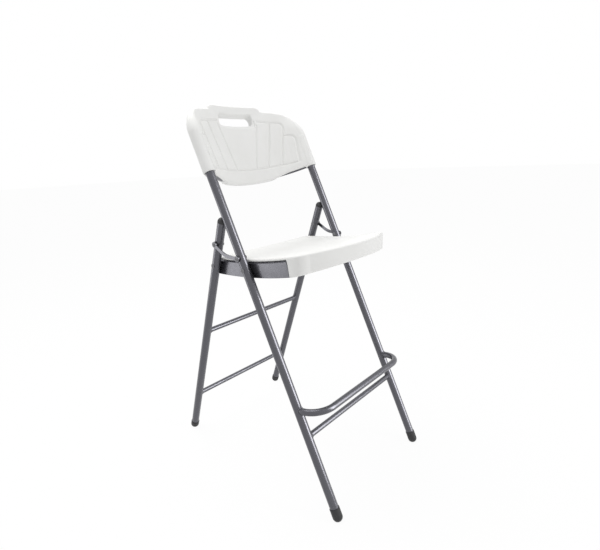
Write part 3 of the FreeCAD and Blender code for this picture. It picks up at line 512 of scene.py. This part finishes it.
def corner_circle():
    """Centre and radius of the arc that rounds the backrest's upper corners."""
    a, b, c = (np.array(point) for point in CORNER_POINTS)
    turn = 2 * ((b - a)[0] * (c - a)[1] - (b - a)[1] * (c - a)[0])
    to_b, to_c = (b - a) @ (b - a), (c - a) @ (c - a)
    centre = a + np.array([(c - a)[1] * to_b - (b - a)[1] * to_c,
                           (b - a)[0] * to_c - (c - a)[0] * to_b]) / turn
    return centre, np.linalg.norm(a - centre)


def cheek_section(rise):
    """The swelling's half thickness, and how far across its middle lies, at each rise."""
    centre, bound = corner_circle()
    above = np.maximum(rise - centre[1], 0.0)
    edge = centre[0] + np.sqrt(np.maximum(bound ** 2 - above ** 2, 0.0))
    share = (rise - CHEEK_THINS_FROM) / (CHEEK_RISES[1] - CHEEK_THINS_FROM)
    thick = SLEEVE_RADIUS + (CHEEK_TIP - SLEEVE_RADIUS) * eased(share)
    return thick, np.minimum(TUBE_AXIS_X, edge - thick)


def cheek(side):
    """The sleeve's swelling, which flows into the sheet and bends into its rounded upper corner."""
    rings = []
    for rise in np.linspace(*CHEEK_RISES, 41):
        sag, radius = panel_ring(rise)
        thick, middle = (float(value) for value in cheek_section(rise))
        centre = np.array([middle, sag - radius + math.sqrt(radius ** 2 - middle ** 2)])
        tilt = math.asin(middle / radius)
        faces = []
        for face in (-1, 1):
            points = []
            for share in np.linspace(0, 1, 13)[:-1]:
                x = middle - CHEEK_WIDTH * (1 - share)
                far = radius + face * (CHEEK_ROOT + (thick - CHEEK_ROOT) * eased(share))
                points.append((x, sag - radius + math.sqrt(far ** 2 - x ** 2)))
            faces.append(points)
        ring = faces[0]
        for turn in np.linspace(-math.pi / 2, math.pi / 2, 17) - tilt:
            ring.append(centre + thick * np.array([math.cos(turn), math.sin(turn)]))
        ring += faces[1][::-1]
        rings.append([on_tube(side * x, behind, rise) for x, behind in ring])
    return solid_tube(rings)


def slot_rim():
    """The hand slot's rolled rim on the backrest's back."""
    sections = []
    straight = SLOT_HALF_WIDTH - SLOT_HALF_HEIGHT
    for step in range(72):
        turn = 2 * math.pi * step / 72
        shift = math.copysign(straight, math.cos(turn))
        section = []
        back = RIM_BACK + (RIM_BACK_ABOVE - RIM_BACK) * max(math.sin(turn), 0)
        for out, deep in ((0.0, RIM_FRONT), (0.0, back), (RIM_FLAT * RIM_WIDTH, back),
                          (RIM_WIDTH, RIM_FRONT)):
            reach = SLOT_HALF_HEIGHT + out
            section.append(on_panel(shift + reach * math.cos(turn), deep,
                                    SLOT_RISE + reach * math.sin(turn)))
        sections.append(section)
    return solid_ring(sections)


def joined(mesh, parts):
    """The mesh with more closed shapes added to it."""
    shape = bmesh.new()
    shape.from_mesh(mesh)
    for points, faces in parts:
        corners = [shape.verts.new(point) for point in points]
        made = [shape.faces.new([corners[n] for n in face]) for face in faces]
        bmesh.ops.recalc_face_normals(shape, faces=made)
    shape.to_mesh(mesh)
    shape.free()
    return mesh


def moulded(node, voxel, passes, parts=()):
    """The node's shape with its edges melted a little, as a moulding has them."""
    mesh = joined(nodes[node].data.copy(), parts)
    source = bpy.data.objects.new(node + "_source", mesh)
    bpy.context.scene.collection.objects.link(source)
    remesh = source.modifiers.new("even", "REMESH")
    remesh.mode = "VOXEL"
    remesh.voxel_size = voxel
    remesh.use_smooth_shade = True
    smooth = source.modifiers.new("melt", "SMOOTH")
    smooth.factor = 0.5
    smooth.iterations = passes
    bpy.context.view_layer.update()
    seen = source.evaluated_get(bpy.context.evaluated_depsgraph_get())
    result = bpy.data.meshes.new_from_object(seen)
    result.name = node + "_moulding"
    bpy.data.objects.remove(source)
    piece = new_piece(node + "_moulding", result, body_of[node], slot_of[node])
    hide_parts(node)
    return piece


def rounded_path(points, radius):
    """The path with its middle corner rounded off."""
    before, corner, after = (np.array(point) for point in points)
    start = corner + (before - corner) / np.linalg.norm(before - corner) * radius
    end = corner + (after - corner) / np.linalg.norm(after - corner) * radius
    shares = np.linspace(0, 1, 9)[:, None]
    bend = start * (1 - shares) ** 2 + 2 * corner * shares * (1 - shares) + end * shares ** 2
    return np.vstack([before, bend, after])


def groove_paths():
    """The grooves of one half of the backrest's face, as points across and along."""
    def foot(x):
        return COLUMN_FOOT - FOOT_FALL * (x / TUBE_AXIS_X) ** 2

    def line(index, top):
        low = foot(column_line(index, COLUMN_FOOT))
        return [(column_line(index, low), low), (column_line(index, top), top)]

    def under_top(index, inner, top):
        outer = top - TOP_FALL * (column_line(index, top) - column_line(inner, top))
        return rounded_path(line(index, outer) + [(column_line(inner, top), top)], COLUMN_CORNER)

    across = np.linspace(0, column_line(3, COLUMN_FOOT), 12)
    return [np.array(line(0, TALL_TOP - FIRST_LINE_SHORT)),
            np.array(line(1, TALL_TOP - TOP_FALL * COLUMN_PITCH)),
            under_top(2, 0, TALL_TOP), under_top(3, 2, LOW_TOP),
            np.column_stack([across, foot(across)])]


def nearest(places, path):
    """Each place's distance from a path."""
    best = np.full(len(places), 1.0)
    for start, end in zip(path[:-1], path[1:]):
        step = end - start
        share = np.clip((places - start) @ step / (step @ step), 0, 1)
        best = np.minimum(best, np.linalg.norm(places - start - share[:, None] * step, axis=1))
    return best


def squared_slot(flat):
    """Moves the slot's ends apart and squares their corners, fading out round the slot."""
    around = eased((0.034 - np.abs(flat[:, 1] - SLOT_RISE)) / 0.016)
    straight = SLOT_HALF_WIDTH - SLOT_HALF_HEIGHT
    gap = flat - np.array([straight, SLOT_RISE])
    far = np.maximum(np.linalg.norm(gap, axis=1), 1e-6)
    unit = np.abs(gap) / far[:, None]
    power = SLOT_SQUARENESS
    square = (unit[:, 0] ** power + unit[:, 1] ** power) ** (-1 / power) - 1
    near = eased((SLOT_HALF_HEIGHT + 0.014 - far) / 0.012) * (gap[:, 0] > 0)
    flat = flat + gap / far[:, None] * (square * near * SLOT_HALF_HEIGHT)[:, None]
    wider = eased(flat[:, 0] / 0.05) * eased((0.105 - flat[:, 0]) / 0.035)
    higher = eased((0.10 - flat[:, 0]) / 0.03)
    flat[:, 0] += SLOT_WIDER * wider * around
    flat[:, 1] += SLOT_HIGHER * higher * around
    return flat


def vertex_places(mesh):
    """The mesh's vertices as rows of x, y and z."""
    place = np.empty(len(mesh.vertices) * 3)
    mesh.vertices.foreach_get("co", place)
    return place.reshape(-1, 3)


def set_vertex_places(mesh, place):
    """Moves the mesh's vertices to rows of x, y and z."""
    mesh.vertices.foreach_set("co", place.ravel())
    mesh.update()


def backrest_places(mesh):
    """Each vertex across, along and in depth from the backrest's middle surface, and its side."""
    place = vertex_places(mesh)
    lean = math.radians(FRONT_LEAN)
    y, z = place[:, 1] + FOOT_BALL[0], place[:, 2] - FOOT_BALL[1]
    x, behind = place[:, 0], y * math.cos(lean) - z * math.sin(lean)
    rise = y * math.sin(lean) + z * math.cos(lean) - PANEL_BOTTOM
    sag, radius = panel_ring(rise)
    deep = np.hypot(x, behind - sag + radius) - radius
    return np.column_stack([np.abs(x), rise]), deep, np.sign(x)


def set_backrest_places(mesh, flat, deep, side):
    """Writes the vertices back from their places on the backrest."""
    lean = math.radians(FRONT_LEAN)
    sag, radius = panel_ring(flat[:, 1])
    behind = sag - radius + np.sqrt((radius + deep) ** 2 - flat[:, 0] ** 2)
    along = flat[:, 1] + PANEL_BOTTOM
    place = np.column_stack([side * flat[:, 0],
                             behind * math.cos(lean) + along * math.sin(lean) - FOOT_BALL[0],
                             along * math.cos(lean) - behind * math.sin(lean) + FOOT_BALL[1]])
    set_vertex_places(mesh, place)


def trim_sleeve(flat, deep):
    """Draws the sleeve's end in to the swelling's own outline and thickness."""
    across, rise = flat[:, 0], flat[:, 1]
    radius = panel_ring(rise)[1]
    thick, middle = cheek_section(rise)
    tilt = np.arcsin(middle / radius)
    gap_x = across - middle
    gap_y = np.sqrt((radius + deep) ** 2 - across ** 2) - np.sqrt(radius ** 2 - middle ** 2)
    out = gap_x * np.cos(tilt) - gap_y * np.sin(tilt)
    back = gap_x * np.sin(tilt) + gap_y * np.cos(tilt)
    far = np.maximum(np.hypot(out, back), 1e-6)
    pull = np.minimum(thick / far, 1.0)
    out, back = out * pull, back * pull
    drawn = middle + out * np.cos(tilt) + back * np.sin(tilt)
    behind = np.sqrt(radius ** 2 - middle ** 2) - out * np.sin(tilt) + back * np.cos(tilt)
    near = eased(1 + (across - middle) / CHEEK_WIDTH)
    limit = PANEL_HALF_THICK + np.maximum(thick - PANEL_HALF_THICK, 0.0) * near
    limit = np.where(across > middle - CHEEK_WIDTH, limit, 1.0)
    upper = (rise > corner_circle()[0][1]) & (rise < CHEEK_RISES[1])
    outer, inner = upper & (out > 0), upper & (out <= 0)
    deep = np.where(outer, np.hypot(drawn, behind) - radius, deep)
    deep = np.where(inner, np.clip(deep, -limit, limit), deep)
    return np.column_stack([np.where(outer, drawn, across), rise]), deep


def round_corners(piece):
    """Trims the sleeves' ends to the backrest's rounded outline and melts them into it."""
    flat, deep, side = backrest_places(piece.data)
    centre, bound = corner_circle()
    start, end = CORNER_POINTS[0], CORNER_POINTS[2]
    flat, deep = trim_sleeve(flat, deep)
    gap = flat - centre
    far = np.linalg.norm(gap, axis=1)
    corner = (flat[:, 1] > CORNER_CAP) & (flat[:, 0] > end[0])
    pull = np.where(corner & (far > bound), bound / far, 1.0)
    flat = centre + gap * pull[:, None]
    inside = np.clip((bound - far) / PANEL_HALF_THICK, 0, 1)
    limit = CORNER_EDGE + PANEL_HALF_THICK * np.sqrt(1 - (1 - inside) ** 2)
    deep = np.where(corner, np.clip(deep, -limit, limit), deep)
    set_backrest_places(piece.data, flat, deep, side)
    soft = (eased((flat[:, 1] - start[1] + CORNER_FADE) / CORNER_FADE)
            * eased((flat[:, 0] - CORNER_ACROSS) / CORNER_FADE))
    group = piece.vertex_groups.new(name="corner")
    for level in CORNER_LEVELS:
        chosen = np.nonzero((soft > level - CORNER_LEVELS[0]) & (soft <= level))[0]
        group.add(chosen.tolist(), level, "REPLACE")
    smooth = piece.modifiers.new("corner", "SMOOTH")
    smooth.factor = 0.5
    smooth.iterations = CORNER_PASSES
    smooth.vertex_group = "corner"
    seen = piece.evaluated_get(bpy.context.evaluated_depsgraph_get())
    rounder = bpy.data.meshes.new_from_object(seen)
    piece.modifiers.clear()
    piece.vertex_groups.clear()
    old, piece.data = piece.data, rounder
    bpy.data.meshes.remove(old)


def finish_backrest(piece):
    """Rounds the upper corners, squares the slot, cuts the grooves and sets the crest's height."""
    round_corners(piece)
    flat, deep, side = backrest_places(piece.data)
    flat = squared_slot(flat)
    distance = np.full(len(flat), 1.0)
    for path in groove_paths():
        distance = np.minimum(distance, nearest(flat, path))
    cut = np.clip(1 - (distance / GROOVE_HALF_WIDTH) ** 2, 0, 1) ** 2
    deep = deep + np.where(deep < -0.5 * PANEL_HALF_THICK, GROOVE_DEPTH * cut, 0.0)
    share = (SEEN_CREST_RISE - SHOULDER_RISE) / (CREST_RISE - SHOULDER_RISE)
    over = np.maximum(flat[:, 1] - SHOULDER_RISE, 0)
    flat[:, 1] += over * (share - 1)
    set_backrest_places(piece.data, flat, deep, side)


def deepen_skirt(piece):
    """Draws the seat's front skirt down to the depth that the photograph shows."""
    low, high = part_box("seat_shell")
    rail_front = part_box("seat_rail_left")[0].y
    place = vertex_places(piece.data)
    depth = (high.z - place[:, 2] - SKIRT_FROM) / (high.z - low.z - SKIRT_FROM)
    front = eased((rail_front + SKIRT_FADE - place[:, 1]) / SKIRT_FADE)
    place[:, 2] -= SKIRT_DEEPER * np.clip(depth, 0, 1) * front
    set_vertex_places(piece.data, place)


def bead(name, body, joint, along, bar_radius, tube_way):
    """A fillet weld round a bar where it meets a tube: joint is on the tube's axis, along leads
    out along the bar, and tube_way is the tube's direction."""
    side = along.cross(tube_way).normalized()
    up = side.cross(along).normalized()
    across = along - tube_way * along.dot(tube_way)
    sections = []
    for step in range(BEAD_STEPS):
        angle = 2 * math.pi * step / BEAD_STEPS
        out = side * math.cos(angle) + up * math.sin(angle)
        offset = out * bar_radius
        offset = offset - tube_way * offset.dot(tube_way)
        a, b = across.dot(across), across.dot(offset)
        c = offset.dot(offset) - TUBE_RADIUS ** 2
        reach = (-b + math.sqrt(b * b - a * c)) / a
        thick = BEAD_RADIUS * (0.86 + 0.14 * abs(math.sin(BEAD_RIPPLES * angle / 2)))
        centre = (joint + along * (reach + 0.25 * BEAD_RADIUS)
                  + out * (bar_radius + 0.05 * BEAD_RADIUS))
        turns = [2 * math.pi * corner / BEAD_RING for corner in range(BEAD_RING)]
        sections.append([centre + along * thick * math.cos(turn) + out * thick * math.sin(turn)
                         for turn in turns])
    points, faces = solid_ring(sections)
    mesh = bpy.data.meshes.new(name)
    mesh.from_pydata(points, [], faces)
    mesh.shade_smooth()
    return new_piece(name, mesh, body, "grey_steel")


def tube_direction(lean):
    """The direction up a tube that leans back from upright."""
    return Vector((0, math.sin(math.radians(lean)), math.cos(math.radians(lean))))


def weld_bars():
    """Welds at both ends of each straight bar and of the footrest."""
    bars = (("front_cross_tube", "front_frame", FRONT_LEAN),
            ("rear_cross_tube_upper", "rear_frame", -REAR_LEAN),
            ("rear_cross_tube_lower", "rear_frame", -REAR_LEAN))
    for bar, body, lean in bars:
        low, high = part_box(bar)
        middle = (low + high) / 2
        for side_name, side in SIDES:
            joint = Vector((side * TUBE_AXIS_X, middle.y, middle.z))
            bead("weld_%s_%s" % (bar, side_name), body, joint, Vector((-side, 0, 0)),
                 (high.z - low.z) / 2, tube_direction(lean))
    rise = math.radians(FOOTREST_RISE)
    back = (FOOTREST_HEIGHT - FOOT_BALL[1]) * math.tan(math.radians(FRONT_LEAN)) - FOOT_BALL[0]
    for side_name, side in SIDES:
        joint = Vector((side * TUBE_AXIS_X, back, FOOTREST_HEIGHT))
        bead("weld_footrest_" + side_name, "front_frame", joint,
             Vector((0, -math.cos(rise), math.sin(rise))), FOOTREST_RADIUS,
             tube_direction(FRONT_LEAN))


def light_steel():
    """A broad sheen for the steel alone, from the right and from behind on the left; the
    plastic's brightness comes from the other lamps."""
    steel = bpy.data.collections.new("steel")
    for piece in bpy.data.objects:
        if piece.type == "MESH" and finishes["grey_steel"] in list(piece.data.materials):
            steel.objects.link(piece)
    for lamp in (area_light("sheen", (1.0, -2.2, 1.2), (0, 0, 0.6), 1.5, 2.6, 74),
                 area_light("rail_sheen", (-1.5, 1.6, 0.36), (-0.2, 0, 0.62), 1.0, 0.7, 5)):
        lamp.light_linking.receiver_collection = steel


make_camera()
make_world()
make_floor()
area_light("key", (1.2, -2.8, 1.6), (0, 0, 1.6), 0.55, 3.0, 27)
area_light("top", (-0.3, 0.9, 3.0), (0, 0, 0.7), 1.8, 1.8, 46)

finishes = {"white_plastic": white_plastic(), "grey_steel": grey_steel(),
            "black_plastic": black_plastic("black_plastic", 900.0, 0.52),
            "black_nylon": black_plastic("black_nylon", 1500.0, 0.42),
            "zinc_steel": zinc_steel()}
for name, item in nodes.items():
    give(item, slot_of[name])

finish_backrest(moulded("back_panel", PANEL_VOXEL, PANEL_PASSES, face_fill() + [
    lower_band(), slot_rim(), sleeve_mouth(1), sleeve_mouth(-1), bore_plug(1), bore_plug(-1),
    cheek(1), cheek(-1)]))
deepen_skirt(moulded("seat_shell", SEAT_VOXEL, SEAT_PASSES))
weld_bars()
light_steel()

bpy.context.scene.view_settings.view_transform = "Standard"
